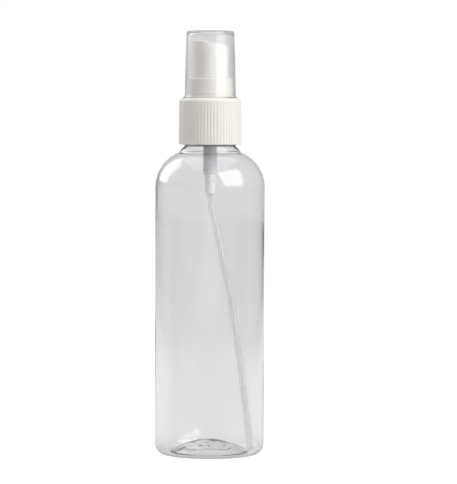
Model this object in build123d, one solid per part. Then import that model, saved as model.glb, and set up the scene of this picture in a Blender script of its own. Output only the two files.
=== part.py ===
"""Clear PET bottle with a finger-pump mist sprayer and a push-on overcap.

Millimetres. +Z runs up the bottle's axis, and the origin is the centre of the foot,
on the surface that the bottle stands on. The sprayer's nozzle points along -X.
"""
from build123d import *
from math import acos, atan2, degrees, radians, sqrt, tan
import os

# ---- bottle -------------------------------------------------------------------
body_r = 24.3            # outside of the straight body
wall = 0.8               # blown wall
heel_r = 5.0             # outside rounding between the foot and the body
foot_outer_r = body_r - heel_r
foot_inner_r = foot_outer_r - 1.2
foot_round = 1.6         # rounding between the foot and the push-up
push_up = 6.0            # height of the push-up's underside above the foot
shoulder_z = 119.2       # top of the straight body
shoulder_r = 16.2        # radius of the round shoulder
shoulder_centre_r = body_r - shoulder_r
bead_r = 13.5            # step at the foot of the neck
bead_z = 135.1
bead_top_z = 136.9
bead_sag = 0.7           # how far the step rounds off
bead_wall = 0.9          # wall under the step, where the blown body runs into the neck

# ---- neck finish, 24-410 --------------------------------------------------------
rim_z = 154.4
rim_edge = 0.3
bore_r = 9.4
bore_flare_z = 137.5     # the bore widens from here down into the blown body
neck_foot_r = 11.4       # plain band under the thread
neck_foot_z = 139.0
neck_slope = 0.5         # height of the slope from the plain band to the thread's root
thread_root_r = 10.9
thread_crest_r = 12.0
thread_pitch = 3.175     # eight threads to the inch
thread_turns = 1.5
thread_root_w = 1.7
thread_crest_w = 0.9
thread_low_z = 147.0     # middle of the thread's lower end
thread_bury = 0.4        # how far a ridge's root reaches into its wall
thread_gap = 0.3         # radial room between neck and collar

# ---- clamped stack on the rim -----------------------------------------------------
gasket_t = 1.0
gasket_gap = 0.2         # room between the gasket and the housing's cup
flange_r = 11.0
housing_flange_t = 0.8
turret_flange_t = 0.7
gasket_z = rim_z
housing_flange_z = gasket_z + gasket_t
turret_z = housing_flange_z + housing_flange_t

# ---- screw collar -----------------------------------------------------------------
collar_foot_z = 137.8
collar_top_z = 158.4
collar_foot_r = 14.0
collar_head_r = 13.8
collar_head_z = 157.1    # where the side meets the rounded top edge
collar_land_r = 12.0     # outside of the flat top
collar_ceiling_z = turret_z + turret_flange_t + 0.1
collar_bore_r = thread_crest_r + thread_gap
collar_seat_r = 11.6     # narrower bore round the flanges
collar_seat_z = 153.4
collar_hole_gap = 0.2    # room round the turret, so that the collar turns freely
rib_count = 60
rib_groove_w = 0.75      # groove between two ribs, at its mouth
rib_groove_floor_w = 0.35
rib_root_r = 13.6
rib_foot_z = 138.7
rib_head_z = 157.5
collar_edge_r = 2.4
collar_turns = 2

# ---- turret: ring that holds the pump in the collar and guides the button ---------------
turret_r = 9.7
turret_bore_r = 8.2
turret_top_z = 167.1
turret_edge = 0.35
turret_web_z = 157.4
snap_bead_z = 160.7      # low ring that grips the overcap
snap_bead_h = 0.8
snap_bead_proud = 0.15
guide_r = 2.0            # bore that guides the stem
guide_wall = 0.85
guide_top_z = 159.9
guide_foot_z = 150.65
plug_wall = 0.97
plug_foot_z = 150.4
snap_gap = 0.03          # room round pieces that snap or press together

# ---- pump housing ---------------------------------------------------------------------
cup_r = 6.9
cup_bore_r = 5.9
cup_floor_z = 149.9
cup_floor_t = 0.9
cylinder_r = 3.8         # outside of the pump cylinder
cylinder_bore_r = 2.9
cylinder_foot_z = 140.4
funnel_h = 0.6           # slope from the cylinder's bore to the spring barrel's
shoulder_h = 0.8         # slope outside it
barrel_r = 3.1           # outside of the spring barrel
barrel_bore_r = 2.3
barrel_top_z = 138.8
barrel_foot_z = 125.4
nipple_top_r = 2.6
nipple_top_z = 124.8
nipple_foot_r = 2.2
nipple_foot_z = 116.2
spring_ledge_z = 129.2
ball_lip_r = 1.4         # the check ball snaps past this lip
ball_lip_t = 0.5
ball_chamber_r = 1.75
ball_seat_z = 126.4
inlet_r = 1.0
tube_stop_z = 123.9
vent_r = 0.5
vent_z = 152.4

# ---- moving pieces in the pump --------------------------------------------------------
stroke = 5.5
piston_travel = 4.7      # the rest of the stroke opens the valve under the piston
ball_r = 1.5
seat_gap = 0.04          # room between the ball and its cone
piston_top_z = 150.5
piston_h = 5.0
piston_r = 2.85
piston_waist_r = 2.4
piston_lip_h = 0.7
piston_bore_r = 1.27
shaft_r = 1.2            # poppet's shaft
shaft_flat = 0.85        # half width across its two flow flats
shaft_top_z = 157.4
poppet_seat_z = piston_top_z - piston_h - 0.05
poppet_seat_r = 2.05
poppet_seat_t = 1.05
spigot_r = 1.3
spigot_foot_z = 141.9
spigot_nose = 0.5        # taper at the spigot's lower end
stem_r = 1.9
stem_bore_r = 1.0
stem_socket_r = shaft_r + 0.02
stem_socket_z = 157.9
stem_foot_z = piston_top_z + stroke - piston_travel + 0.05
stem_top_z = 172.4
wire_r = 0.25
coil_r = 1.75
coils = 10
spring_gap = 0.02        # room at each end of the spring

# ---- dip tube: radius from the axis and height of each bend ----------------------------
tube_r = 1.6
tube_bore_r = 1.0
tube_gap = 0.02
tube_turned = -20.6      # degrees from +X to the plane that the tube lies in
tube_bends = [(0, tube_stop_z), (0, 112.9), (8.3, 79.4), (13, 53), (19.85, 1.3)]
tube_neck_bend_r = 26    # first bend, which starts just below the nipple
tube_arc_share = 0.45    # share of the shorter run that half an arc takes
tube_cut_angle = 30      # slanted lower end, longest towards the bottle's axis
tube_cut_z = 2.6         # middle of the slanted end

# ---- actuator button -------------------------------------------------------------------
button_r = 7.95
button_wall = 1.1
button_foot_z = 163.4
button_front_z = 183.8   # top over the nozzle
button_back_z = 181.1    # lowest edge of the finger rest, opposite the nozzle
rest_start_x = -2.5      # the finger rest starts here
rest_dish = 0.3          # how deep the finger rest is dished
button_top_t = 1.6
button_crest_r = 2.0     # rounding where the finger rest starts
button_edge_r = 0.4
post_r = 3.1
post_foot_z = 166.4
socket_top_z = 172.6
nozzle_z = 176.4
channel_r = 0.8
feed_r = 0.5
boss_r = 2.9
insert_r = 1.9
insert_face_x = -7.7
insert_length = 3.0
recess_length = 3.4
core_pin_r = 0.9
core_pin_gap = 0.5       # room between the pin and the insert's front wall
insert_bore_r = 1.25
insert_front_t = 0.7
orifice_r = 0.18
flare_r = 0.7            # flare at the orifice's mouth
flare_depth = 0.4
stiffener_t = 0.8
stiffener_foot_z = post_foot_z + 3

# ---- overcap ------------------------------------------------------------------------------
cap_foot_z = collar_top_z
cap_rim_r = 12.2         # flared rim
cap_rim_h = 0.3
cap_flare_top_z = 160.2
cap_flare_sag = 0.18     # how far the flare hollows
cap_foot_r = 11.4
cap_mid_r = 11.0
cap_mid_z = 176.4
cap_top_r = 10.6
cap_top_z = 188.1
cap_corner = 0.8
cap_wall = 1.1
cap_top_t = 1.2
cap_lead_in = 0.5        # widening of the bore at the rim
cap_lead_h = 1.0
cap_inner_corner = 0.5

# ---- shared ---------------------------------------------------------------------------------
over = 1                 # how far a cutting shape runs past what it cuts
bury = 0.2               # how far one shape of a piece reaches into the next


# ---- helpers ---------------------------------------------------------------------------------
def turned(outline):
    """Solid of revolution from a closed outline of (radius, height)."""
    return revolve(Plane.XZ * make_face(outline), Axis.Z)


def polygon(*points):
    """Closed outline of straight lines."""
    return Polyline(*points, close=True)


def drum(radius, low, high):
    """Upright cylinder between two heights."""
    return Pos(0, 0, low) * Cylinder(radius, high - low, align=(Align.CENTER, Align.CENTER, Align.MIN))


def rod(radius, x_low, x_high, height):
    """Cylinder along X at a given height."""
    length = x_high - x_low
    lying = Rot(0, 90, 0) * Cylinder(radius, length, align=(Align.CENTER, Align.CENTER, Align.MIN))
    return Pos(x_low, 0, height) * lying


def thread(root_r, crest_r, low_z, turns):
    """Right-hand trapezoidal ridge that starts at +X; crest_r may be inside or outside root_r."""
    path = Helix(pitch=thread_pitch, height=turns * thread_pitch, radius=(root_r + crest_r) / 2)
    outward = 1 if crest_r > root_r else -1
    slope = (thread_root_w - thread_crest_w) / 2 / abs(crest_r - root_r)
    buried_r = root_r - outward * thread_bury
    buried_w = thread_root_w + 2 * slope * thread_bury
    section = Plane.XZ * make_face(polygon(
        (buried_r, -buried_w / 2), (crest_r, -thread_crest_w / 2),
        (crest_r, thread_crest_w / 2), (buried_r, buried_w / 2)))
    return Pos(0, 0, low_z) * sweep(section, path=path, is_frenet=True)


# ---- bottle ------------------------------------------------------------------------------------
def body_outline(inset, neck_r):
    """Half section of the blown body, this far under its skin, up to a radius on the shoulder."""
    dome_r = (foot_inner_r ** 2 + (push_up - foot_round) ** 2 - foot_round ** 2) / (2 * push_up)
    dome_angle = degrees(atan2(foot_inner_r, foot_round - push_up + dome_r))
    shoulder_angle = degrees(acos((neck_r - shoulder_centre_r) / (shoulder_r - inset)))
    dome = CenterArc((0, push_up - dome_r), dome_r + inset, 90, -dome_angle)
    foot = CenterArc((foot_inner_r, foot_round), foot_round - inset, 270 - dome_angle, dome_angle)
    ring = Line((foot_inner_r, inset), (foot_outer_r, inset))
    heel = CenterArc((foot_outer_r, heel_r), heel_r - inset, 270, 90)
    side = Line((body_r - inset, heel_r), (body_r - inset, shoulder_z))
    shoulder = CenterArc((shoulder_centre_r, shoulder_z), shoulder_r - inset, 0, shoulder_angle)
    return dome + foot + ring + heel + side + shoulder, shoulder @ 1


def bottle():
    outside, shoulder_end = body_outline(0, bead_r)
    outside += Line(shoulder_end, (bead_r, bead_z))
    bead_middle = (bead_r - bead_sag, bead_z + bead_sag)
    outside += ThreePointArc((bead_r, bead_z), bead_middle, (neck_foot_r, bead_top_z))
    outside += Polyline(
        (neck_foot_r, bead_top_z), (neck_foot_r, neck_foot_z),
        (thread_root_r, neck_foot_z + neck_slope), (thread_root_r, rim_z - rim_edge),
        (thread_root_r - rim_edge, rim_z), (0, rim_z), (0, push_up))
    inward = Vector(bead_z - bead_top_z, neck_foot_r - bead_r).normalized() * bead_wall
    inside, shoulder_end = body_outline(wall, bead_r + inward.X)
    inside += Polyline(
        shoulder_end, (bead_r + inward.X, bead_z + inward.Y),
        (neck_foot_r + inward.X, bead_top_z + inward.Y), (bore_r, bore_flare_z),
        (bore_r, rim_z + over), (0, rim_z + over), (0, push_up + wall))
    ridge = thread(thread_root_r, thread_crest_r, thread_low_z, thread_turns)
    return turned(outside) + ridge - turned(inside)


# ---- closure -----------------------------------------------------------------------------------
def screw_collar():
    edge = RadiusArc((collar_head_r, collar_head_z), (collar_land_r, collar_top_z), collar_edge_r)
    outside = edge + Polyline(
        (collar_land_r, collar_top_z), (0, collar_top_z), (0, collar_foot_z),
        (collar_foot_r, collar_foot_z), (collar_head_r, collar_head_z))
    shell = turned(outside)
    shell -= drum(collar_bore_r, collar_foot_z - over, collar_seat_z)
    shell -= drum(collar_seat_r, collar_seat_z, collar_ceiling_z)
    shell -= drum(turret_r + collar_hole_gap, collar_ceiling_z, collar_top_z + over)
    groove = Plane.XY.offset(rib_foot_z) * make_face(polygon(
        (rib_root_r, -rib_groove_floor_w / 2), (rib_root_r, rib_groove_floor_w / 2),
        (collar_foot_r + bury, rib_groove_w / 2), (collar_foot_r + bury, -rib_groove_w / 2)))
    cutter = extrude(groove, amount=rib_head_z - rib_foot_z)
    shell -= [Rot(0, 0, 360 * number / rib_count) * cutter for number in range(rib_count)]
    crest_r = thread_root_r + thread_gap
    low_z = thread_low_z - thread_turns * thread_pitch
    return shell + thread(collar_bore_r, crest_r, low_z, collar_turns)


def turret():
    """Retaining ring: clamped under the collar, snapped into the housing, guides stem and button."""
    ring = turned(polygon(
        (guide_r, turret_z), (flange_r, turret_z), (flange_r, turret_z + turret_flange_t),
        (turret_r, turret_z + turret_flange_t), (turret_r, turret_top_z - turret_edge),
        (turret_r - turret_edge, turret_top_z), (turret_bore_r, turret_top_z),
        (turret_bore_r, turret_web_z), (guide_r, turret_web_z)))
    bead = turned(polygon(
        (turret_r - bury, snap_bead_z - snap_bead_h / 2),
        (turret_r + snap_bead_proud, snap_bead_z - snap_bead_proud / 2),
        (turret_r + snap_bead_proud, snap_bead_z + snap_bead_proud / 2),
        (turret_r - bury, snap_bead_z + snap_bead_h / 2)))
    guide = drum(guide_r + guide_wall, guide_foot_z, guide_top_z) - drum(guide_r, 0, guide_top_z + over)
    plug_r = cup_bore_r - snap_gap
    plug = drum(plug_r, plug_foot_z, turret_z) - drum(plug_r - plug_wall, 0, turret_z)
    return ring + bead + guide + plug


def neck_gasket():
    ring = drum(flange_r, gasket_z, gasket_z + gasket_t)
    return ring - drum(cup_r + gasket_gap, gasket_z - over, housing_flange_z + over)


# ---- pump ----------------------------------------------------------------------------------------
def pump_housing():
    outside = polygon(
        (0, turret_z), (flange_r, turret_z), (flange_r, housing_flange_z), (cup_r, housing_flange_z),
        (cup_r, cup_floor_z), (cup_r - cup_floor_t, cup_floor_z - cup_floor_t),
        (cylinder_r, cup_floor_z - cup_floor_t), (cylinder_r, barrel_top_z + shoulder_h),
        (barrel_r, barrel_top_z), (barrel_r, barrel_foot_z), (nipple_top_r, nipple_top_z),
        (nipple_foot_r, nipple_foot_z), (0, nipple_foot_z))
    chamber_top_z = spring_ledge_z - ball_lip_t
    inside = polygon(
        (0, turret_z + over), (cup_bore_r, turret_z + over), (cup_bore_r, cup_floor_z),
        (cylinder_bore_r, cup_floor_z), (cylinder_bore_r, cylinder_foot_z),
        (barrel_bore_r, cylinder_foot_z - funnel_h), (barrel_bore_r, spring_ledge_z),
        (ball_lip_r, spring_ledge_z), (ball_lip_r, chamber_top_z),
        (ball_chamber_r, chamber_top_z), (ball_chamber_r, ball_seat_z + ball_chamber_r - inlet_r),
        (inlet_r, ball_seat_z), (inlet_r, tube_stop_z), (tube_r + tube_gap, tube_stop_z),
        (tube_r + tube_gap, nipple_foot_z - over), (0, nipple_foot_z - over))
    vent = Pos(0, cup_r, vent_z) * Rot(90, 0, 0) * Cylinder(vent_r, 3 * (cup_r - cup_bore_r))
    return turned(outside) - turned(inside) - vent


def check_ball():
    """The seat is a 45 degree cone, so the ball's centre stands root two radii above its apex."""
    centre_z = ball_seat_z - inlet_r + ball_r * sqrt(2) + seat_gap
    return Pos(0, 0, centre_z) * Sphere(ball_r)


def return_spring():
    low_z = spring_ledge_z + wire_r + spring_gap
    high_z = poppet_seat_z - poppet_seat_t - wire_r - spring_gap
    path = Helix(pitch=(high_z - low_z) / coils, height=high_z - low_z, radius=coil_r)
    section = Plane(origin=path @ 0, z_dir=path % 0) * Circle(wire_r)
    return Pos(0, 0, low_z) * sweep(section, path=path, is_frenet=True)


def piston():
    foot_z = piston_top_z - piston_h
    return turned(polygon(
        (piston_bore_r, foot_z), (piston_r, foot_z), (piston_r, foot_z + piston_lip_h),
        (piston_waist_r, foot_z + 2 * piston_lip_h), (piston_waist_r, piston_top_z - 2 * piston_lip_h),
        (piston_r, piston_top_z - piston_lip_h), (piston_r, piston_top_z),
        (piston_bore_r, piston_top_z)))


def poppet():
    """Lower stem: its disc closes the piston from below and carries the spring."""
    shaft = drum(shaft_r, poppet_seat_z - bury, shaft_top_z)
    for side in (-1, 1):
        flow_flat = Box(
            4 * shaft_r, 2 * shaft_r, shaft_top_z - poppet_seat_z,
            align=(Align.CENTER, Align.CENTER, Align.MIN))
        shaft -= Pos(0, side * (shaft_flat + shaft_r), poppet_seat_z + 1) * flow_flat
    disc = drum(poppet_seat_r, poppet_seat_z - poppet_seat_t, poppet_seat_z)
    spigot = turned(polygon(
        (0, spigot_foot_z), (spigot_r - spigot_nose, spigot_foot_z),
        (spigot_r, spigot_foot_z + spigot_nose), (spigot_r, poppet_seat_z - bury),
        (0, poppet_seat_z - bury)))
    return shaft + disc + spigot


def stem():
    tube = drum(stem_r, stem_foot_z, stem_top_z)
    tube -= drum(stem_bore_r, stem_foot_z - over, stem_top_z + over)
    return tube - drum(stem_socket_r, stem_foot_z - over, stem_socket_z)


def dip_tube():
    """Curved suction tube: straight runs joined by arcs as large as the runs allow."""
    runs = [Vector(*low) - Vector(*high) for high, low in zip(tube_bends, tube_bends[1:])]
    radii = []
    for before, after in zip(runs, runs[1:]):
        half_turn = radians(before.get_angle(after)) / 2
        radii.append(tube_arc_share * min(before.length, after.length) / tan(half_turn))
    radii[0] = tube_neck_bend_r
    print("dip tube bend radii", [round(bend) for bend in radii])
    spine = Plane.XZ * FilletPolyline(*tube_bends, radius=radii)
    section = Plane(origin=spine @ 0, z_dir=spine % 0) * (Circle(tube_r) - Circle(tube_bore_r))
    tube = sweep(section, path=spine)
    print("dip tube volume", round(tube.volume), "section times length",
          round(section.area * spine.length))
    knife = Box(8 * tube_r, 8 * tube_r, 4 * tube_r, align=(Align.CENTER, Align.CENTER, Align.MAX))
    tube -= Pos(tube_bends[-1][0], 0, tube_cut_z) * Rot(0, -tube_cut_angle, 0) * knife
    return Rot(0, 0, tube_turned) * tube


# ---- button --------------------------------------------------------------------------------------
def button_block(radius, low_z, lowered):
    """Cylinder from a height up to the button's top face, or to that face lowered by a wall."""
    reach = button_r + over
    front = (-reach, button_front_z - lowered)
    start = (rest_start_x, button_front_z - lowered)
    end = (reach, button_back_z - lowered)
    middle = (Vector(*start) + Vector(*end)) / 2 - Vector(0, rest_dish)
    side = Line(front, start) + ThreePointArc(start, (middle.X, middle.Y), end)
    side += Polyline(end, (reach, low_z), (-reach, low_z), front)
    slab = extrude(Plane.XZ * make_face(side), amount=reach, both=True)
    return drum(radius, low_z, button_front_z + over) & slab


def on_top_rim(edge):
    """True for an edge along the meeting of the button's side and its top."""
    points = [edge @ share for share in (0, 0.5, 1)]
    return all(
        abs(sqrt(point.X ** 2 + point.Y ** 2) - button_r) < 0.01 and point.Z > button_back_z - 0.5
        for point in points)


def actuator():
    outer = button_block(button_r, button_foot_z, 0)
    crest = outer.edges().filter_by(Axis.Y).sort_by(Axis.Z)[-1]
    outer = fillet(crest, button_crest_r)
    outer = fillet(outer.edges().filter_by(on_top_rim), button_edge_r)
    cavity = button_block(button_r - button_wall, button_foot_z, button_top_t)
    inner = button_block(button_r - bury, button_foot_z, button_top_t / 2)
    post = inner & drum(post_r, post_foot_z, button_front_z)
    boss = rod(boss_r, -button_r, 0, nozzle_z) & inner
    ribs = Part()
    for angle in (45, 135, 225, 315):
        plate = Pos(button_r / 2, 0, (stiffener_foot_z + button_front_z) / 2)
        plate *= Box(button_r, stiffener_t, button_front_z - stiffener_foot_z)
        ribs += Rot(0, 0, angle) * plate
    body = outer - cavity + (post + boss + (ribs & inner))
    feed_z = nozzle_z + (core_pin_r + insert_bore_r) / 2
    recess_x = insert_face_x + recess_length
    body -= drum(stem_r + snap_gap, post_foot_z - over, socket_top_z)
    body -= drum(channel_r, socket_top_z - bury, feed_z)
    body -= rod(insert_r + snap_gap, insert_face_x - over, recess_x, nozzle_z)
    body -= rod(feed_r, recess_x - bury, 0, feed_z)
    pin_x = insert_face_x + insert_front_t + core_pin_gap
    return body + rod(core_pin_r, pin_x, recess_x + bury, nozzle_z)


def nozzle_insert():
    """Small cup that holds the spray orifice."""
    back_x = insert_face_x + insert_length
    cup = rod(insert_r, insert_face_x, back_x, nozzle_z)
    cup -= rod(insert_bore_r, insert_face_x + insert_front_t, back_x + over, nozzle_z)
    cup -= rod(orifice_r, insert_face_x - over, back_x, nozzle_z)
    flare = Cone(flare_r, orifice_r, flare_depth, align=(Align.CENTER, Align.CENTER, Align.MIN))
    return cup - Pos(insert_face_x, 0, nozzle_z) * Rot(0, 90, 0) * flare


# ---- overcap ---------------------------------------------------------------------------------------
def overcap():
    corner_z = cap_top_z - cap_corner
    flare_start = Vector(cap_rim_r, cap_foot_z + cap_rim_h)
    flare_end = Vector(cap_foot_r, cap_flare_top_z)
    flare_middle = (flare_start + flare_end) / 2 - Vector(cap_flare_sag, cap_flare_sag)
    outside = Polyline((0, cap_foot_z), (cap_rim_r, cap_foot_z), (flare_start.X, flare_start.Y))
    outside += ThreePointArc(flare_start, flare_middle, flare_end)
    outside += Polyline((cap_foot_r, cap_flare_top_z), (cap_mid_r, cap_mid_z), (cap_top_r, corner_z))
    outside += CenterArc((cap_top_r - cap_corner, corner_z), cap_corner, 0, 90)
    outside += Polyline((cap_top_r - cap_corner, cap_top_z), (0, cap_top_z), (0, cap_foot_z))
    ceiling_z = cap_top_z - cap_top_t
    mouth_r = cap_foot_r - cap_wall + cap_lead_in
    inside = polygon(
        (0, cap_foot_z - over), (mouth_r, cap_foot_z - over), (mouth_r, cap_foot_z),
        (cap_foot_r - cap_wall, cap_foot_z + cap_lead_h), (cap_mid_r - cap_wall, cap_mid_z),
        (cap_top_r - cap_wall, ceiling_z - cap_inner_corner),
        (cap_top_r - cap_wall - cap_inner_corner, ceiling_z), (0, ceiling_z))
    return turned(outside) - turned(inside)


pieces = {
    "bottle": bottle, "dip_tube": dip_tube, "neck_gasket": neck_gasket, "screw_collar": screw_collar,
    "turret": turret, "pump_housing": pump_housing, "check_ball": check_ball,
    "return_spring": return_spring, "piston": piston, "poppet": poppet, "stem": stem,
    "actuator": actuator, "nozzle_insert": nozzle_insert, "overcap": overcap,
}


def main():
    os.makedirs("parts", exist_ok=True)
    for name, make in pieces.items():
        piece = make()
        piece.label = name
        export_step(piece, f"parts/{name}.step")


if __name__ == "__main__":
    main()
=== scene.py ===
"""Clear spray bottle with a finger-pump mist sprayer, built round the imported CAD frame."""

from math import acos, atan2, cos, degrees, hypot, pi, radians, sin, sqrt, tan, tau

import bmesh
import bpy
from mathutils import Matrix, Vector, noise


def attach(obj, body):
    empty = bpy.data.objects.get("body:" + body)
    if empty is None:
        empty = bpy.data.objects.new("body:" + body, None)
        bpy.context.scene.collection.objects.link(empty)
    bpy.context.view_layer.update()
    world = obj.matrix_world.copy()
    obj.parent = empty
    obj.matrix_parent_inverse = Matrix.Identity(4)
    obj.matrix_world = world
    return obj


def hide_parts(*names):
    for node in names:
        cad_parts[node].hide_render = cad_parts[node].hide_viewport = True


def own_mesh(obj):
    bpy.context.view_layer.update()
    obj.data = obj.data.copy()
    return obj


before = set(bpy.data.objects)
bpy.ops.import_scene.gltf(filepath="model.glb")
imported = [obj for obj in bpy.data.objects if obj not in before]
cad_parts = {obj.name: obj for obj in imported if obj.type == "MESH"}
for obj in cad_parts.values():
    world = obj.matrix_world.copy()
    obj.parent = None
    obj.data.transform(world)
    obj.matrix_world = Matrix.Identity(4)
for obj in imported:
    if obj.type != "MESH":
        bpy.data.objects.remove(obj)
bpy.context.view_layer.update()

MM = 0.001               # outlines are in millimetres, Blender in metres

# ---- sizes of the frame's pieces, in millimetres -----------------------------------
body_r = 24.3
wall = 0.8
heel_r = 5.0
foot_outer_r = body_r - heel_r
foot_inner_r = foot_outer_r - 1.2
foot_round = 1.6
push_up = 6.0
shoulder_z = 119.2
shoulder_r = 16.2
shoulder_centre_r = body_r - shoulder_r
bead_r = 13.5
bead_z = 135.1
bead_top_z = 136.9
bead_wall = 0.9
rim_z = 154.4
bore_r = 9.4
neck_foot_r = 11.4
neck_foot_z = 139.0
thread_root_r = 10.9
thread_depth = 1.1
thread_pitch = 3.175
thread_turns = 1.5
thread_low_z = 147.0
thread_crest_w = 0.9
thread_root_w = 1.7

collar_foot_z = 137.8
collar_top_z = 158.4
collar_foot_r = 14.0
collar_head_r = 13.8
collar_head_z = 157.1
collar_land_r = 12.0
collar_edge_r = 2.4
collar_ceiling_z = 157.0
collar_bore_r = 12.3
collar_seat_r = 11.6
collar_seat_z = 153.4
collar_hole_r = 9.9
collar_thread_turns = 2
rib_count = 60
rib_root_r = 13.6
rib_foot_z = 138.7

flange_r = 11.0
housing_flange_z = 155.4
turret_foot_z = 156.2
turret_flange_z = 156.9
turret_web_z = 157.4
turret_top_z = 167.1
turret_r = 9.7
turret_bore_r = 8.2
snap_bead_z = 160.7
guide_r = 2.0
guide_outer_r = 2.85
guide_foot_z = 150.65
guide_top_z = 159.9
plug_r = 5.87
plug_bore_r = 4.9
plug_foot_z = 150.4

cup_r = 6.9
cup_bore_r = 5.9
cup_floor_z = 149.9
cup_foot_z = 149.0
cylinder_r = 3.8
cylinder_bore_r = 2.9
cylinder_foot_z = 140.4
barrel_r = 3.1
barrel_bore_r = 2.3
barrel_top_z = 138.8
barrel_foot_z = 125.4
nipple_top_r = 2.6
nipple_top_z = 124.8
nipple_foot_r = 2.2
nipple_foot_z = 116.2
spring_ledge_z = 129.2
ball_lip_r = 1.4
ball_lip_foot_z = 128.7
ball_chamber_r = 1.75
ball_seat_z = 126.4
inlet_r = 1.0

spring_low_z = 129.47
spring_high_z = 144.13
wire_r = 0.25
coil_r = 1.75
coils = 10

tube_r = 1.6
tube_bore_r = 1.0
tube_turned = radians(-20.6)
tube_stop_z = 123.9
tube_bends = [(0, tube_stop_z), (0, nipple_foot_z), (0, 112.9), (8.3, 79.4), (13, 53), (19.85, 1.3)]
tube_cut_angle = radians(30)
tube_cut_z = 2.6

cap_foot_z = 158.4
cap_rim_r = 12.2
cap_rim_h = 0.3
cap_flare_top_z = 160.2
cap_foot_r = 11.4
cap_mid_r = 11.0
cap_mid_z = 176.4
cap_top_r = 10.6
cap_top_z = 188.1
cap_wall = 1.1
cap_top_t = 1.2
cap_flare_r = 1.6
cap_lead_in = 0.5
cap_lead_h = 1.0

# ---- small details of the Blender pieces, in millimetres -----------------------------
bead_skirt = 0.15        # straight foot of the bottle's bead
bead_ease = 0.1
neck_ease = 0.3
neck_slope_h = 0.5
inner_drop = 0.4         # how far the neck's inside lags below its outside
rim_round = 0.4
rim_bevel = 0.12
flank_ease = 0.1         # softens a thread's crest and root
thread_play = 0.3
wall_step = 5            # longest quad up the bottle's wall
thread_step = 0.25
wall_waves_low_z = 6
wall_waves_full_z = 20
wall_waves_fade_h = 10
# waves of the wall's two sides: height, size round the wall, length up the wall, place in the
# noise, and how far they lie inside the frame's surface as a share of the height
outer_wave = (0.03, 1.2, 45, (0, 3), 0.6)
inner_wave = (0.08, 1.6, 25, (7, 0), 0)
base_swells = ((0.15, 6), (0.06, 2.5))      # height and size of the push-up's swells
base_margin = 2          # how far above and inside the push-up its swells reach
outer_swell_share = 0.3
swell_shift = 50         # place in the noise, so that the two sides swell differently

gate_r = 1.1             # sunken mark of the mould's gate on the overcap
gate_depth = 0.25
gate_slope = 0.2

rib_rise = 0.25
rib_share = 0.35         # of the frame's rib depth, because the photograph's ribs are faint
groove_flat = 0.05       # a groove's floor and edge, as shares of the rib's pitch
groove_edge = 0.35
rib_phases = (0, 0.08, 0.16, 0.25, 0.35, 0.5, 0.65, 0.75, 0.84, 0.92)
collar_thread_h = 8.2
collar_thread_step = 0.28
collar_thread_rows = 33
collar_thread_gap = 1    # between the thread's head and the seat
bore_margin = 0.01       # within it, a point of the outline is on the bore

snap_bead_h = 0.15
snap_bead_half = 0.4
snap_crest_half = 0.1

tube_fit = 0.02
barrel_cone_h = 0.8
cylinder_cone_h = 0.6
cup_step = 0.9
coil_gap = 0.03          # between the turns of the spring's closed ends

curve_steps = 8          # along a rounded bead, flare or edge
bottle_columns = 192
ring_columns = 128
barrel_columns = 64
tube_sides = 32
wire_sides = 10
wire_steps = 28          # for each turn of the spring


# ---- outlines ------------------------------------------------------------------------
def arc(centre, radius, start, end, step=6):
    """Points of an arc of (radius, height) from one angle to another, in degrees."""
    count = max(2, round(abs(end - start) / step))
    angles = [radians(start + (end - start) * i / count) for i in range(count + 1)]
    return [(centre[0] + radius * cos(a), centre[1] + radius * sin(a)) for a in angles]


def arc_between(first, last, radius, count=6):
    """Points of the arc of this radius between two points, with its centre on the left."""
    p, q = Vector(first), Vector(last)
    half = (q - p) / 2
    left = Vector((-half.y, half.x)).normalized()
    centre = p + half + left * sqrt(radius ** 2 - half.length ** 2)
    start = atan2(*(p - centre).yx)
    sweep = 2 * atan2(half.length, sqrt(radius ** 2 - half.length ** 2))
    angles = [start + sweep * i / count for i in range(count + 1)]
    return [(centre.x + radius * cos(a), centre.y + radius * sin(a)) for a in angles]


def rounded(corners, step=15, support=0.1):
    """Closed outline through corners of (radius, height, rounding).
    It gets a point near each end of a long run."""
    least_turn = radians(2)
    longest_reach = 0.45     # of a run, so that two roundings fit on it
    points = []
    count = len(corners)
    for i, (r, z, rounding) in enumerate(corners):
        here = Vector((r, z))
        into = here - Vector(corners[i - 1][:2])
        out = Vector(corners[(i + 1) % count][:2]) - here
        turn = -into.angle_signed(out)
        if rounding == 0 or abs(turn) < least_turn:
            points.append((r, z))
            continue
        slope = tan(abs(turn) / 2)
        reach = min(rounding * slope, longest_reach * into.length, longest_reach * out.length)
        side = 1 if turn > 0 else -1
        start = here - into.normalized() * reach
        centre = start + Vector((-into.y, into.x)).normalized() * side * reach / slope
        steps = max(2, round(degrees(abs(turn)) / step))
        spoke = start - centre
        for k in range(steps + 1):
            c, s = cos(turn * k / steps), sin(turn * k / steps)
            points.append((centre.x + spoke.x * c - spoke.y * s,
                           centre.y + spoke.x * s + spoke.y * c))
    return supported(points, support)


def supported(points, support):
    """The closed outline, with a point a short way in from each end of its long runs."""
    result = []
    for (r, z), (r2, z2) in zip(points, points[1:] + points[:1]):
        result.append((r, z))
        length = hypot(r2 - r, z2 - z)
        if length > 4 * support and max(r, r2) > 0:
            for share in (support / length, 1 - support / length):
                result.append((r + (r2 - r) * share, z + (z2 - z) * share))
    return result


def spaced(points, step):
    """The open outline, with its runs cut so that none is longer than step."""
    result = [points[0]]
    for (r, z), (r2, z2) in zip(points, points[1:]):
        cuts = max(1, round(hypot(r2 - r, z2 - z) / step))
        result += [(r + (r2 - r) * k / cuts, z + (z2 - z) * k / cuts) for k in range(1, cuts + 1)]
    return result


def smooth(value, low, high):
    """0 below low, 1 above high, and an even curve between."""
    t = min(1, max(0, (value - low) / (high - low)))
    return t * t * (3 - 2 * t)


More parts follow.
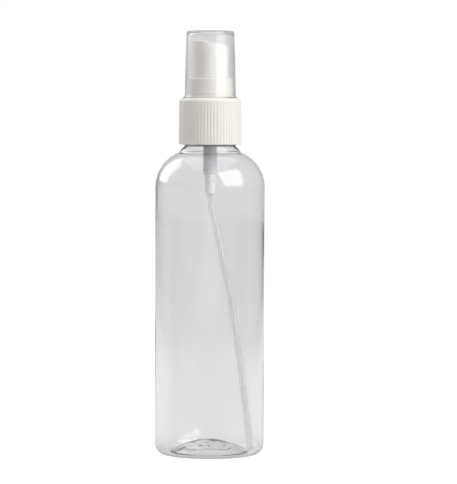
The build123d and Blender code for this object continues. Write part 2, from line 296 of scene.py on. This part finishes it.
# ---- meshes --------------------------------------------------------------------------
def make_piece(name, verts, faces, sharp=180):
    """Smooth object from points in millimetres, sharp where it turns by more than this."""
    mesh = bpy.data.meshes.new(name)
    mesh.from_pydata([Vector(v) * MM for v in verts], [], faces)
    mesh.validate()
    mesh.shade_smooth()
    if sharp < 180:
        mesh.set_sharp_from_angle(angle=radians(sharp))
    piece = bpy.data.objects.new(name, mesh)
    bpy.context.scene.collection.objects.link(piece)
    return piece


def even_angles(count):
    """This many angles round a full turn."""
    return [tau * j / count for j in range(count)]


def joined_rings(rings, closed):
    """Quads between rings of points, and triangles where a ring is one point on the axis."""
    faces = []
    following = rings[1:] + rings[:1] if closed else rings[1:]
    for low, high in zip(rings, following):
        columns = max(len(low), len(high))
        for j in range(columns if columns > 1 else 0):
            k = (j + 1) % columns
            if len(low) == 1:
                faces.append((low[0], high[k], high[j]))
            elif len(high) == 1:
                faces.append((low[j], low[k], high[0]))
            else:
                faces.append((low[j], low[k], high[k], high[j]))
    return faces


def lathe(name, outline, angles, warp=None, closed=True, sharp=180):
    """Turns an outline of (radius, height), with the material on its left, about Z.
    warp(radius, height, angle, place in the outline) gives a point's final radius and height."""
    verts, rings = [], []
    for i, (r, z) in enumerate(outline):
        ring = []
        for angle in angles if r > 0 else angles[:1]:
            rr, zz = warp(r, z, angle, i) if warp and r > 0 else (r, z)
            ring.append(len(verts))
            verts.append((rr * cos(angle), rr * sin(angle), zz))
        rings.append(ring)
    return make_piece(name, verts, joined_rings(rings, closed), sharp)


def circles_along(path, radius, sides, cut=None):
    """Rings of points round a path. cut(point, direction) slides a point of the last ring."""
    rings = []
    for i, point in enumerate(path):
        ahead = (path[min(i + 1, len(path) - 1)] - path[max(i - 1, 0)]).normalized()
        across = (Vector((0, 1, 0)) - ahead * ahead.y).normalized()
        other = ahead.cross(across)
        spots = [point + (across * cos(a) + other * sin(a)) * radius for a in even_angles(sides)]
        if cut and i == len(path) - 1:
            spots = [cut(spot, ahead) for spot in spots]
        rings.append(spots)
    return rings


def numbered(rings):
    """All points of the rings in one list, and the rings as places in that list."""
    verts, places = [], []
    for ring in rings:
        places.append(list(range(len(verts), len(verts) + len(ring))))
        verts += ring
    return verts, places


def nurbs_line(points, resolution=24):
    """Points along a smooth NURBS line through a run of control points."""
    curve = bpy.data.curves.new("line", "CURVE")
    curve.dimensions = "3D"
    spline = curve.splines.new("NURBS")
    spline.points.add(len(points) - 1)
    for target, point in zip(spline.points, points):
        target.co = (*point, 1)
    spline.order_u = 3
    spline.use_endpoint_u = True
    spline.resolution_u = resolution
    holder = bpy.data.objects.new("line", curve)
    mesh = bpy.data.meshes.new_from_object(holder)
    line = [vertex.co.copy() for vertex in mesh.vertices]
    bpy.data.meshes.remove(mesh)
    bpy.data.objects.remove(holder)
    bpy.data.curves.remove(curve)
    return line


def place(piece, material, body, slot, *nodes):
    """Gives a finished piece its material and body, and hides the CAD nodes that it stands for. The
    slot is not used.
    """
    piece.data.materials.append(material)
    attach(piece, body)
    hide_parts(*nodes)
    return piece


# ---- materials -------------------------------------------------------------------------
class Tree:
    """A node tree, and short ways to add and join its nodes."""

    def __init__(self, tree):
        self.nodes = tree.nodes
        self.links = tree.links

    def axes(self, vector):
        """The X, Y and Z outputs of a vector."""
        split = self.nodes.new("ShaderNodeSeparateXYZ")
        self.links.new(vector, split.inputs["Vector"])
        return split.outputs

    def maths(self, operation, *values):
        """Result of a Math node on values that are numbers or outputs of other nodes."""
        node = self.nodes.new("ShaderNodeMath")
        node.operation = operation
        for value, socket in zip(values, node.inputs):
            if isinstance(value, (int, float)):
                socket.default_value = value
            else:
                self.links.new(value, socket)
        return node.outputs["Value"]

    def ranged(self, value, low, high, to_low, to_high):
        """The value, eased from to_low at low to to_high at high."""
        node = self.nodes.new("ShaderNodeMapRange")
        node.interpolation_type = "SMOOTHSTEP"
        sockets = ("From Min", "From Max", "To Min", "To Max")
        for socket, number in zip(sockets, (low, high, to_low, to_high)):
            node.inputs[socket].default_value = number
        self.links.new(value, node.inputs["Value"])
        return node.outputs["Result"]

    def mixed(self, share, first, second):
        """Blend of two colours, each given as numbers or as the output of another node."""
        node = self.nodes.new("ShaderNodeMix")
        node.data_type = "RGBA"
        for socket, colour in (("A", first), ("B", second)):
            if isinstance(colour, tuple):
                node.inputs[socket].default_value = (*colour, 1)
            else:
                self.links.new(colour, node.inputs[socket])
        self.links.new(share, node.inputs["Factor"])
        return node.outputs["Result"]


class Paint(Tree):
    """A material with its Principled shader, whose sockets are set by name."""

    def __init__(self, name, **values):
        self.material = bpy.data.materials.new(name)
        self.material.use_nodes = True
        super().__init__(self.material.node_tree)
        self.shader = self.nodes["Principled BSDF"]
        self.shader.inputs["Subsurface Radius"].default_value = (1, 1, 1)
        for socket, value in values.items():
            self.shader.inputs[socket.replace("_", " ")].default_value = value
        self.coords = self.nodes.new("ShaderNodeTexCoord").outputs["Object"]

    def noise(self, scale, detail=3, stretch=(1, 1, 1)):
        """Noise in the object's coordinates, from 0 to 1."""
        mapping = self.nodes.new("ShaderNodeMapping")
        mapping.inputs["Scale"].default_value = stretch
        self.links.new(self.coords, mapping.inputs["Vector"])
        texture = self.nodes.new("ShaderNodeTexNoise")
        texture.inputs["Scale"].default_value = scale
        texture.inputs["Detail"].default_value = detail
        self.links.new(mapping.outputs["Vector"], texture.inputs["Vector"])
        return texture.outputs["Fac"]

    def join(self, output, socket):
        """Joins an output to one of the shader's sockets."""
        self.links.new(output, self.shader.inputs[socket])
        return self

    def bump(self, height, distance, strength):
        node = self.nodes.new("ShaderNodeBump")
        node.inputs["Distance"].default_value = distance
        node.inputs["Strength"].default_value = strength
        self.links.new(height, node.inputs["Height"])
        return self.join(node.outputs["Normal"], "Normal")


def clear_pet():
    paint = Paint("clear_pet", IOR=1.57, Transmission_Weight=1.0)
    clouds = paint.noise(70, detail=2, stretch=(1, 1, 0.4))
    paint.join(paint.mixed(clouds, (0.965, 0.967, 0.97), (0.985, 0.987, 0.99)), "Base Color")
    paint.join(paint.ranged(paint.noise(220, detail=4), 0.35, 0.75, 0.012, 0.05), "Roughness")
    paint.bump(paint.noise(45, detail=1, stretch=(1, 1, 0.5)), 0.0002, 0.35)
    return paint.material


def clear_styrene():
    paint = Paint("clear_styrene", IOR=1.5, Transmission_Weight=0.98)
    clouds = paint.noise(150, detail=2)
    paint.join(paint.mixed(clouds, (0.9, 0.9, 0.915), (0.93, 0.93, 0.945)), "Base Color")
    paint.join(paint.ranged(paint.noise(500, detail=4), 0.35, 0.75, 0.15, 0.2), "Roughness")
    return paint.material


def white_polypropylene():
    paint = Paint("white_polypropylene", IOR=1.49, Subsurface_Weight=0.4, Subsurface_Scale=0.001)
    clouds = paint.noise(160, detail=3)
    paint.join(paint.mixed(clouds, (0.81, 0.785, 0.735), (0.85, 0.825, 0.775)), "Base Color")
    paint.join(paint.ranged(paint.noise(900, detail=4), 0.3, 0.7, 0.30, 0.44), "Roughness")
    return paint.bump(paint.noise(4000, detail=2), 0.00002, 0.4).material


def natural_polypropylene():
    """Milky plastic, with painted shade: it is painted darker and bluer above the barrel's foot."""
    paint = Paint("natural_polypropylene", IOR=1.49, Transmission_Weight=0.12,
                  Subsurface_Weight=0.5, Subsurface_Scale=0.002)
    height = paint.axes(paint.coords)["Z"]
    # painted shade: share of the darker, bluer colour, rising to full just above the barrel's foot
    painted_shade_share = paint.ranged(height, (barrel_foot_z - 1) * MM, (barrel_foot_z + 2) * MM, 0, 1)
    clouds = paint.noise(300, detail=3)
    unshaded_colour = paint.mixed(clouds, (0.80, 0.79, 0.77), (0.85, 0.84, 0.82))
    shaded = paint.mixed(clouds, (0.50, 0.52, 0.55), (0.57, 0.585, 0.61))
    paint.join(paint.mixed(painted_shade_share, unshaded_colour, shaded), "Base Color")
    paint.join(paint.ranged(paint.noise(1200, detail=3), 0.3, 0.7, 0.25, 0.4), "Roughness")
    return paint.bump(paint.noise(3000, detail=2), 0.00002, 0.4).material


def natural_polyethylene():
    paint = Paint("natural_polyethylene", IOR=1.03, Transmission_Weight=0.85,
                  Coat_Weight=1.0, Coat_Roughness=0.12, Subsurface_Weight=1, Subsurface_Scale=0.003)
    clouds = paint.noise(200, detail=3, stretch=(1, 1, 0.2))
    paint.join(paint.mixed(clouds, (0.93, 0.935, 0.94), (0.97, 0.975, 0.98)), "Base Color")
    streaks = paint.noise(800, detail=3, stretch=(1, 1, 0.1))
    return paint.join(paint.ranged(streaks, 0.3, 0.7, 0.12, 0.22), "Roughness").material


def piston_polyethylene():
    paint = Paint("piston_polyethylene", IOR=1.51, Roughness=0.45, Subsurface_Weight=0.4,
                  Subsurface_Scale=0.001)
    clouds = paint.noise(500, detail=4)
    paint.join(paint.mixed(clouds, (0.80, 0.80, 0.78), (0.87, 0.87, 0.85)), "Base Color")
    return paint.bump(paint.noise(2500, detail=3), 0.00005, 0.5).material


def foamed_polyethylene():
    paint = Paint("foamed_polyethylene", IOR=1.5, Subsurface_Weight=0.3, Subsurface_Scale=0.001)
    cells = paint.nodes.new("ShaderNodeTexVoronoi")
    cells.inputs["Scale"].default_value = 3500
    paint.links.new(paint.coords, cells.inputs["Vector"])
    closeness = paint.ranged(cells.outputs["Distance"], 0, 0.7, 0, 1)
    paint.join(paint.mixed(closeness, (0.86, 0.86, 0.85), (0.74, 0.74, 0.73)), "Base Color")
    paint.join(paint.ranged(paint.noise(1500), 0.3, 0.7, 0.6, 0.8), "Roughness")
    return paint.bump(cells.outputs["Distance"], 0.00008, 0.6).material


def white_acetal():
    paint = Paint("white_acetal", IOR=1.48, Subsurface_Weight=0.15, Subsurface_Scale=0.001)
    clouds = paint.noise(600, detail=3)
    paint.join(paint.mixed(clouds, (0.84, 0.84, 0.83), (0.89, 0.89, 0.88)), "Base Color")
    return paint.join(paint.ranged(paint.noise(2500), 0.3, 0.7, 0.18, 0.3), "Roughness").material


def drawn_steel():
    paint = Paint("drawn_steel", Metallic=1.0)
    lines = paint.noise(1500, detail=3, stretch=(1, 1, 8))
    paint.join(paint.mixed(lines, (0.55, 0.55, 0.56), (0.68, 0.68, 0.68)), "Base Color")
    return paint.join(paint.ranged(lines, 0.3, 0.7, 0.15, 0.3), "Roughness").material


pet = clear_pet()
styrene = clear_styrene()
white = white_polypropylene()
natural = natural_polypropylene()
tubing = natural_polyethylene()
steel = drawn_steel()


# ---- bottle ------------------------------------------------------------------------------
def body_skin(inset, neck_r):
    """Push-up, foot, body and shoulder this far under the skin, from the middle of the base up."""
    dome_r = (foot_inner_r ** 2 + (push_up - foot_round) ** 2 - foot_round ** 2) / (2 * push_up)
    dome_angle = degrees(atan2(foot_inner_r, foot_round - push_up + dome_r))
    shoulder_angle = degrees(acos((neck_r - shoulder_centre_r) / (shoulder_r - inset)))
    points = [(0, push_up + inset)]
    points += arc((0, push_up - dome_r), dome_r + inset, 90, 90 - dome_angle, 2)[1:]
    points += arc((foot_inner_r, foot_round), foot_round - inset, 270 - dome_angle, 270)
    points += arc((foot_outer_r, heel_r), heel_r - inset, 270, 360)
    points += arc((shoulder_centre_r, shoulder_z), shoulder_r - inset, 0, shoulder_angle, 4)
    return points


def wall_wave(z, angle, height, size, length, shift, sunk):
    """How far a wave of the bottle's wall stands out at this place."""
    spot = (cos(angle) * size + shift[0], sin(angle) * size + shift[1], z / length)
    return height * (noise.noise(spot) - sunk)


def thread_height(z, angle, low_z, turns):
    """How much of a thread's full height stands at this place, from 0 to 1."""
    run_out = 0.05
    best = 0
    for turn in range(-1, 3):
        along = turn + angle / tau
        off = abs(z - low_z - thread_pitch * along)
        height = 1 - smooth(off, thread_crest_w / 2 - flank_ease, thread_root_w / 2 + flank_ease)
        ends = smooth(along, -run_out, run_out) * smooth(turns - along, -run_out, run_out)
        best = max(best, height * ends)
    return best


def make_bottle():
    """Blown shell: the wall waves a little, and the push-up is uneven."""
    outside = body_skin(0, bead_r)
    outside += [(bead_r, bead_z - bead_skirt)]
    outside += arc_between((bead_r - bead_ease, bead_z + bead_ease),
                           (neck_foot_r + neck_ease, bead_top_z - bead_ease), curve_steps)
    outside += [(neck_foot_r, bead_top_z + neck_ease), (neck_foot_r, neck_foot_z)]
    outside += [(thread_root_r, neck_foot_z + neck_slope_h), (thread_root_r, rim_z - rim_round)]
    outside += [(thread_root_r - rim_bevel, rim_z - rim_bevel), (thread_root_r - rim_round, rim_z)]
    neck_starts = next(i for i, (r, z) in enumerate(outside) if z > neck_foot_z)
    skin = spaced(outside[:neck_starts], wall_step) + spaced(outside[neck_starts:], thread_step)

    inward = Vector((bead_z - bead_top_z, neck_foot_r - bead_r)).normalized() * bead_wall
    inner_neck_r = neck_foot_r - bead_wall
    inside = body_skin(wall, bead_r + inward.x)
    inside += [(bead_r + inward.x, bead_z + inward.y), (inner_neck_r, bead_top_z - inner_drop)]
    inside += [(inner_neck_r, neck_foot_z - inner_drop), (bore_r, neck_foot_z + neck_slope_h)]
    inside += [(bore_r, rim_z - rim_round), (bore_r + rim_bevel, rim_z - rim_bevel)]
    inside += [(bore_r + rim_round, rim_z)]
    outline = skin + spaced(inside, wall_step)[::-1]

    def warp(r, z, angle, index):
        outer = index < len(skin)
        if outer and z > neck_foot_z:
            return r + thread_depth * thread_height(z, angle, thread_low_z, thread_turns), z
        if z < push_up + base_margin and r < foot_outer_r:
            spot = Vector((r * cos(angle), r * sin(angle), outer * swell_shift))
            swell = sum(height * noise.noise(spot / size) for height, size in base_swells)
            share = outer_swell_share if outer else 1
            return r, z + swell * share * (1 - smooth(r, foot_inner_r - base_margin, foot_outer_r))
        body_share = smooth(z, wall_waves_low_z, wall_waves_full_z)
        body_share *= 1 - smooth(z, shoulder_z, shoulder_z + wall_waves_fade_h)
        return r + wall_wave(z, angle, *(outer_wave if outer else inner_wave)) * body_share, z

    piece = lathe("bottle_shell", outline, even_angles(bottle_columns), warp, closed=False)
    piece.visible_shadow = False
    return place(piece, pet, "bottle", "bottle_pet", "bottle")


# ---- overcap -------------------------------------------------------------------------------
def make_overcap():
    """Clear cap with a flared rim and a sunken gate mark on top."""
    mouth_r = cap_foot_r - cap_wall + cap_lead_in
    gate_z = cap_top_z - gate_depth
    ceiling_z = cap_top_z - cap_top_t
    flare = arc_between((cap_foot_r, cap_flare_top_z), (cap_rim_r, cap_foot_z + cap_rim_h),
                        cap_flare_r, curve_steps)
    corners = [(mouth_r, cap_foot_z, 0.15), (cap_rim_r, cap_foot_z, 0.1)]
    corners += [(r, z, 0) for r, z in flare[::-1]]
    corners += [
        (cap_mid_r, cap_mid_z, 0), (cap_top_r, cap_top_z, 0.8),
        (gate_r, cap_top_z, 0.1), (gate_r - gate_slope, gate_z, 0.1), (0, gate_z, 0),
        (0, ceiling_z, 0), (cap_top_r - cap_wall, ceiling_z, 0.6),
        (cap_mid_r - cap_wall, cap_mid_z, 0), (cap_foot_r - cap_wall, cap_foot_z + cap_lead_h, 0.3)]
    piece = lathe("overcap_shell", rounded(corners, support=0.2), even_angles(ring_columns))
    piece.visible_shadow = False
    return place(piece, styrene, "overcap", "overcap_clear", "overcap")


# ---- closure ---------------------------------------------------------------------------------
def make_collar():
    """Ribbed outside, internal thread, and a hole that the turret stands through."""
    thread_crest_r = thread_root_r + thread_play
    low_z = thread_low_z - thread_turns * thread_pitch
    top = arc_between((collar_head_r, collar_head_z), (collar_land_r, collar_top_z),
                      collar_edge_r, curve_steps)
    thread_rows = [low_z + collar_thread_h - collar_thread_step * row
                   for row in range(collar_thread_rows)]
    corners = [(collar_bore_r, collar_foot_z, 0.25), (collar_foot_r, collar_foot_z, 0.3)]
    corners += [(collar_foot_r, rib_foot_z, 0), (collar_foot_r, rib_foot_z + rib_rise, 0)]
    corners += [(r, z, 0) for r, z in top]
    corners += [
        (collar_hole_r, collar_top_z, 0.2), (collar_hole_r, collar_ceiling_z, 0.1),
        (collar_seat_r, collar_ceiling_z, 0.2), (collar_seat_r, collar_seat_z, 0.1),
        (collar_bore_r, collar_seat_z, 0.1)]
    corners += [(collar_bore_r, z, 0) for z in thread_rows]

    def warp(r, z, angle, index):
        if r < collar_bore_r + bore_margin and z < collar_seat_z - collar_thread_gap:
            height = thread_height(z, angle, low_z, collar_thread_turns)
            return r - (collar_bore_r - thread_crest_r) * height, z
        phase = angle / tau * rib_count % 1
        groove = 1 - smooth(min(phase, 1 - phase), groove_flat, groove_edge)
        depth = max(0, r - rib_root_r) * smooth(z, rib_foot_z, rib_foot_z + rib_rise)
        return r - rib_share * depth * groove, z

    angles = [tau * (rib + phase) / rib_count for rib in range(rib_count) for phase in rib_phases]
    piece = lathe("ribbed_collar", rounded(corners), angles, warp, sharp=50)
    return place(piece, white, "collar", "white_pp", "screw_collar")


def make_turret():
    """Retaining ring with its snap bead, stem guide and plug."""
    snap_r = turret_r + snap_bead_h
    corners = [
        (guide_r, guide_foot_z, 0.15), (guide_outer_r, guide_foot_z, 0.15),
        (guide_outer_r, turret_foot_z, 0.3), (plug_bore_r, turret_foot_z, 0.3),
        (plug_bore_r, plug_foot_z, 0.2), (plug_r, plug_foot_z, 0.2),
        (plug_r, turret_foot_z, 0.1), (flange_r, turret_foot_z, 0.1),
        (flange_r, turret_flange_z, 0.1), (turret_r, turret_flange_z, 0.1),
        (turret_r, snap_bead_z - snap_bead_half, 0.1), (snap_r, snap_bead_z - snap_crest_half, 0.1),
        (snap_r, snap_bead_z + snap_crest_half, 0.1), (turret_r, snap_bead_z + snap_bead_half, 0.1),
        (turret_r, turret_top_z, 0.35), (turret_bore_r, turret_top_z, 0.25),
        (turret_bore_r, turret_web_z, 0.4), (guide_outer_r, turret_web_z, 0.3),
        (guide_outer_r, guide_top_z, 0.2), (guide_r, guide_top_z, 0.2)]
    piece = lathe("turret_ring", rounded(corners), even_angles(ring_columns))
    return place(piece, white, "pump", "white_pp", "turret")


# ---- pump --------------------------------------------------------------------------------------
def make_housing():
    """Cup, cylinder, spring barrel and tube socket in one lathe."""
    socket_r = tube_r + tube_fit
    corners = [
        (socket_r, nipple_foot_z, 0.15), (nipple_foot_r, nipple_foot_z, 0.2),
        (nipple_top_r, nipple_top_z, 0.3), (barrel_r, barrel_foot_z, 0.3),
        (barrel_r, barrel_top_z, 0.3), (cylinder_r, barrel_top_z + barrel_cone_h, 0.3),
        (cylinder_r, cup_foot_z, 0.5), (cup_r - cup_step, cup_foot_z, 0.3),
        (cup_r, cup_floor_z, 0.4), (cup_r, housing_flange_z, 0.2),
        (flange_r, housing_flange_z, 0.1),
        (flange_r, turret_foot_z, 0.1), (cup_bore_r, turret_foot_z, 0.1),
        (cup_bore_r, cup_floor_z, 0.3), (cylinder_bore_r, cup_floor_z, 0.2),
        (cylinder_bore_r, cylinder_foot_z, 0.1),
        (barrel_bore_r, cylinder_foot_z - cylinder_cone_h, 0.1),
        (barrel_bore_r, spring_ledge_z, 0.1), (ball_lip_r, spring_ledge_z, 0.1),
        (ball_lip_r, ball_lip_foot_z, 0.1), (ball_chamber_r, ball_lip_foot_z, 0.1),
        (ball_chamber_r, ball_seat_z + ball_chamber_r - inlet_r, 0.1), (inlet_r, ball_seat_z, 0.1),
        (inlet_r, tube_stop_z, 0), (socket_r, tube_stop_z, 0)]
    piece = lathe("pump_barrel", rounded(corners), even_angles(barrel_columns))
    return place(piece, natural, "pump", "natural_pp", "pump_housing")


def make_tube():
    """Curved tube with a slanted lower end."""
    turned = Matrix.Rotation(tube_turned, 3, "Z")
    line = [turned @ point for point in nurbs_line([(r, 0, z) for r, z in tube_bends])]
    normal = turned @ Vector((-sin(tube_cut_angle), 0, cos(tube_cut_angle)))
    middle = turned @ Vector((tube_bends[-1][0], 0, tube_cut_z))

    def cut(spot, ahead):
        return spot - ahead * normal.dot(spot - middle) / normal.dot(ahead)

    outer = circles_along(line, tube_r, tube_sides, cut)
    inner = circles_along(line, tube_bore_r, tube_sides, cut)
    verts, places = numbered(outer + inner[::-1])
    piece = make_piece("dip_tube_line", verts, joined_rings(places, closed=True), sharp=40)
    return place(piece, tubing, "pump", "tube_pe", "dip_tube")


def make_spring():
    """Compression spring with a closed coil at each end."""
    closed_pitch = 2 * wire_r + coil_gap
    rise = spring_high_z - spring_low_z
    open_pitch = (rise - 2 * closed_pitch) / (coils - 2)
    opens_at, open_at = 0.75, 1.25        # turns from an end
    line = []
    z = spring_low_z
    for step in range(coils * wire_steps + 1):
        turn = step / wire_steps
        line.append(Vector((coil_r * cos(tau * turn), coil_r * sin(tau * turn), z)))
        middle = smooth(turn, opens_at, open_at) * smooth(coils - turn, opens_at, open_at)
        z += (closed_pitch + (open_pitch - closed_pitch) * middle) / wire_steps
    stretch = rise / (line[-1].z - spring_low_z)
    for point in line:
        point.z = spring_low_z + (point.z - spring_low_z) * stretch
    verts, places = numbered(circles_along(line, wire_r, wire_sides))
    faces = joined_rings(places, closed=False) + [places[0][::-1], places[-1]]
    piece = make_piece("coil_spring", verts, faces, sharp=60)
    place(piece, steel, "pump", "steel", "return_spring")
    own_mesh(piece)
    return piece


make_bottle()
make_overcap()
make_collar()
make_turret()
make_housing()
make_tube()
make_spring()

# ---- CAD nodes that keep their shape ------------------------------------------------------------
finishes = {
    "actuator": white, "stem": white, "poppet": natural, "piston": piston_polyethylene(),
    "neck_gasket": foamed_polyethylene(), "nozzle_insert": white_acetal(), "check_ball": steel}
for name, finish in finishes.items():
    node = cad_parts[name]
    node.data.materials.clear()
    node.data.materials.append(finish)


# ---- floor, light and camera, in metres ----------------------------------------------------------
floor_r = 3
floor_drop = 0.0002      # keeps the floor clear of the bottle's foot
backdrop_r = 8
paper_glow = 1.05        # just over white, so that paper renders white
# the floor's glow, by distance from the bottle, and its shares behind, far in front, left and
# right of it: from and to in metres, then the values there
floor_rim = (0.52, 0.66, 0.655, 0.63)
floor_behind = (-0.1, 0.1, 0.38, 1)
floor_far_ahead = (-1.3, -0.6, 0.85, 0.38)
floor_left = (-0.75, -0.3, 0.75, 1)
floor_right = (0.3, 0.75, 1, 0.25)
sky_dim = 0.5
# the sky's strength behind the bottle, then straight in front of it: from and to along Y,
# then the strengths there
sky_bands = ((0.75, 0.99, 0.1, 0.77), (-0.995, -0.94, 0.62, 0.1))
# azimuth (from -Y towards +X) and elevation in degrees; fade is the soft rim's width
softboxes = {
    "key": dict(azimuth=52, elevation=28, distance=1.0, width=1.1, height=1.05,
                radiance=3.7, fade=0.22),
    "side": dict(azimuth=238, elevation=29, distance=1.5, width=1.15, height=1.32,
                 radiance=2.3, fade=0.16),
    "strip_right": dict(azimuth=67, elevation=24, distance=1.2, width=0.14, height=1.15,
                        radiance=0.9, fade=0.06),
    "strip_left": dict(azimuth=264, elevation=24, distance=1.2, width=0.1, height=1.15,
                       radiance=0.9, fade=0.05)}
softbox_target_z = 0.1
top_light_z = 1.2
top_light_size = 1.3
top_light_radiance = 0.65
eye = Vector((0.0083, -1.25, 0.147))
camera_target = Vector((0.0083, 0, 0.0946))
camera_lens = 209.4
camera_sensor = 36
camera_roll = radians(0.2)
light_bounces = 32       # enough for the walls of the bottle, the overcap and the tube


def stage_piece(name, mesh):
    """A piece of the studio, outside the object."""
    piece = bpy.data.objects.new(name, mesh)
    bpy.context.scene.collection.objects.link(piece)
    return piece


def make_disc(name, height):
    sides = 64
    verts = [Vector((0, 0, height))]
    verts += [Vector((floor_r * cos(a), floor_r * sin(a), height)) for a in even_angles(sides)]
    mesh = bpy.data.meshes.new(name)
    mesh.from_pydata(verts, [], [(0, j + 1, (j + 1) % sides + 1) for j in range(sides)])
    return stage_piece(name, mesh)


def only_for_camera(piece):
    """The camera sees this piece. It lights nothing, and shows in no gloss or clear plastic."""
    piece.visible_diffuse = False
    piece.visible_glossy = False
    piece.visible_transmission = False
    piece.visible_volume_scatter = False
    piece.visible_shadow = False


def glowing_paint(name, grey, roughness, strength=0):
    """Grey material that gives off white light."""
    return Paint(name, Base_Color=(grey, grey, grey, 1), Roughness=roughness,
                 Emission_Color=(1, 1, 1, 1), Emission_Strength=strength)


def make_floor():
    """White floor for the camera, and a grey glow for the object, dim just in front of it."""
    white_floor = make_disc("floor", -floor_drop)
    paint = glowing_paint("white_floor", grey=0.1, roughness=0.9, strength=paper_glow)
    white_floor.data.materials.append(paint.material)
    only_for_camera(white_floor)

    floor = make_disc("floor_glow", -2 * floor_drop)
    floor.visible_camera = False
    paint = glowing_paint("pale_floor", grey=0.12, roughness=0.7)
    distance = paint.nodes.new("ShaderNodeVectorMath")
    distance.operation = "LENGTH"
    paint.links.new(paint.coords, distance.inputs[0])
    axes = paint.axes(paint.coords)
    glow = paint.ranged(distance.outputs["Value"], *floor_rim)
    along_y = paint.maths("MAXIMUM", paint.ranged(axes["Y"], *floor_behind),
                          paint.ranged(axes["Y"], *floor_far_ahead))
    left = paint.ranged(axes["X"], *floor_left)
    right = paint.ranged(axes["X"], *floor_right)
    for share in (along_y, left, right):
        glow = paint.maths("MULTIPLY", glow, share)
    paint.join(glow, "Emission Strength")
    floor.data.materials.append(paint.material)


def make_backdrop():
    """White paper all round, which only the camera sees."""
    mesh = bpy.data.meshes.new("backdrop")
    form = bmesh.new()
    bmesh.ops.create_icosphere(form, subdivisions=4, radius=backdrop_r)
    form.to_mesh(mesh)
    form.free()
    paint = glowing_paint("white_paper", grey=0, roughness=1, strength=paper_glow)
    mesh.materials.append(paint.material)
    only_for_camera(stage_piece("backdrop", mesh))


def make_sky():
    """Grey studio: lighter behind the bottle, and a little lighter straight in front of it."""
    world = bpy.data.worlds.new("studio")
    bpy.context.scene.world = world
    world.use_nodes = True
    sky = Tree(world.node_tree)
    along_y = sky.axes(sky.nodes.new("ShaderNodeTexCoord").outputs["Generated"])["Y"]
    strength = sky_dim
    for band in sky_bands:
        strength = sky.maths("MAXIMUM", sky.ranged(along_y, *band), strength)
    background = sky.nodes["Background"]
    background.inputs["Color"].default_value = (1, 1, 1, 1)
    sky.links.new(strength, background.inputs["Strength"])


def make_softbox(name, azimuth, elevation, distance, width, height, radiance, fade):
    """Glowing panel aimed at the bottle, fading out at its rim."""
    a, e = radians(azimuth), radians(elevation)
    away = Vector((sin(a) * cos(e), -cos(a) * cos(e), sin(e)))
    corners = [(x * width / 2, y * height / 2, 0) for x, y in ((-1, -1), (1, -1), (1, 1), (-1, 1))]
    mesh = bpy.data.meshes.new(name)
    mesh.from_pydata(corners, [], [(3, 2, 1, 0)])
    panel = stage_piece(name, mesh)
    panel.location = Vector((0, 0, softbox_target_z)) + away * distance
    panel.rotation_euler = away.to_track_quat("Z", "Y").to_euler()
    panel.visible_camera = False
    panel.visible_shadow = False
    paint = glowing_paint(name + "_cloth", grey=0, roughness=1, strength=radiance)
    axes = paint.axes(paint.coords)
    rims = [paint.ranged(paint.maths("ABSOLUTE", axes[axis]), half - fade, half, 1, 0)
            for axis, half in (("X", width / 2), ("Y", height / 2))]
    paint.join(paint.maths("MULTIPLY", *rims), "Alpha")
    mesh.materials.append(paint.material)


def make_top_light():
    """Soft overhead light."""
    light = bpy.data.lights.new("top", "AREA")
    light.size = top_light_size
    light.energy = top_light_radiance * pi * light.size ** 2
    lamp = bpy.data.objects.new("top", light)
    lamp.location = (0, 0, top_light_z)
    bpy.context.scene.collection.objects.link(lamp)


def make_camera():
    """Camera at the photograph's angle."""
    data = bpy.data.cameras.new("camera")
    data.lens = camera_lens
    data.sensor_width = camera_sensor
    camera = bpy.data.objects.new("camera", data)
    camera.location = eye
    look = (camera_target - eye).to_track_quat("-Z", "Y").to_matrix()
    camera.rotation_euler = (look @ Matrix.Rotation(camera_roll, 3, "Z")).to_euler()
    bpy.context.scene.collection.objects.link(camera)
    bpy.context.scene.camera = camera


make_floor()
make_backdrop()
make_sky()
for name, values in softboxes.items():
    make_softbox(name, **values)
make_top_light()
make_camera()
bpy.context.scene.view_settings.view_transform = "Standard"
bpy.context.scene.cycles.max_bounces = light_bounces
bpy.context.scene.cycles.transmission_bounces = light_bounces
